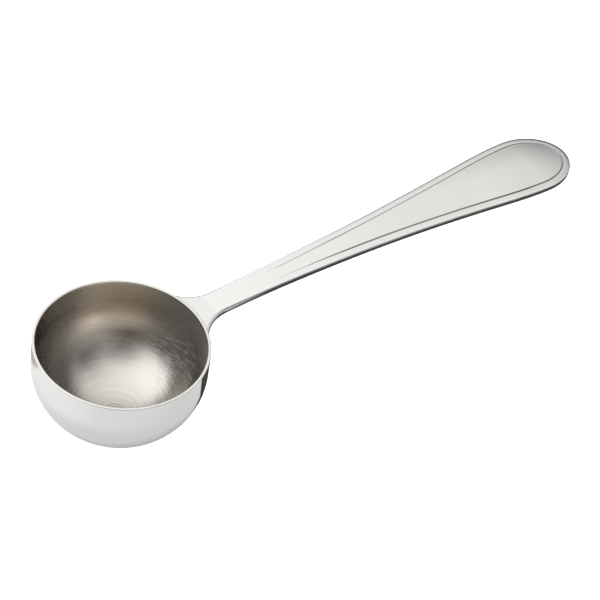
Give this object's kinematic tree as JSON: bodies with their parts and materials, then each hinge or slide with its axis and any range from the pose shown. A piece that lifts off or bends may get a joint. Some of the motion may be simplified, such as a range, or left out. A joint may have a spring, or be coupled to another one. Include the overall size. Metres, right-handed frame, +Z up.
{
  "type": "measuring spoon",
  "caption": "Stainless steel coffee measure: a deep round-bottomed bowl with a straight wall and level rim, welded to a long flat handle with a grooved border and rounded wide end.",
  "frame": {"origin": "centre of the bounding box's bottom face, with the spoon lying on a table on the round of its bowl and the end of its handle", "axes": "+Z up from the table, +X along the spoon's mirror plane towards the handle's end"},
  "size_m": [0.177, 0.0456, 0.0305],
  "materials": {
    "bowl_steel": "mirror polished outside, satin spun inside",
    "handle_steel": "polished",
    "weld_steel": "ground and polished"
  },
  "bodies": {
    "root": {"bowl": "bowl_steel", "handle": "handle_steel", "weld_bead": "weld_steel"}
  },
  "joints": []
}
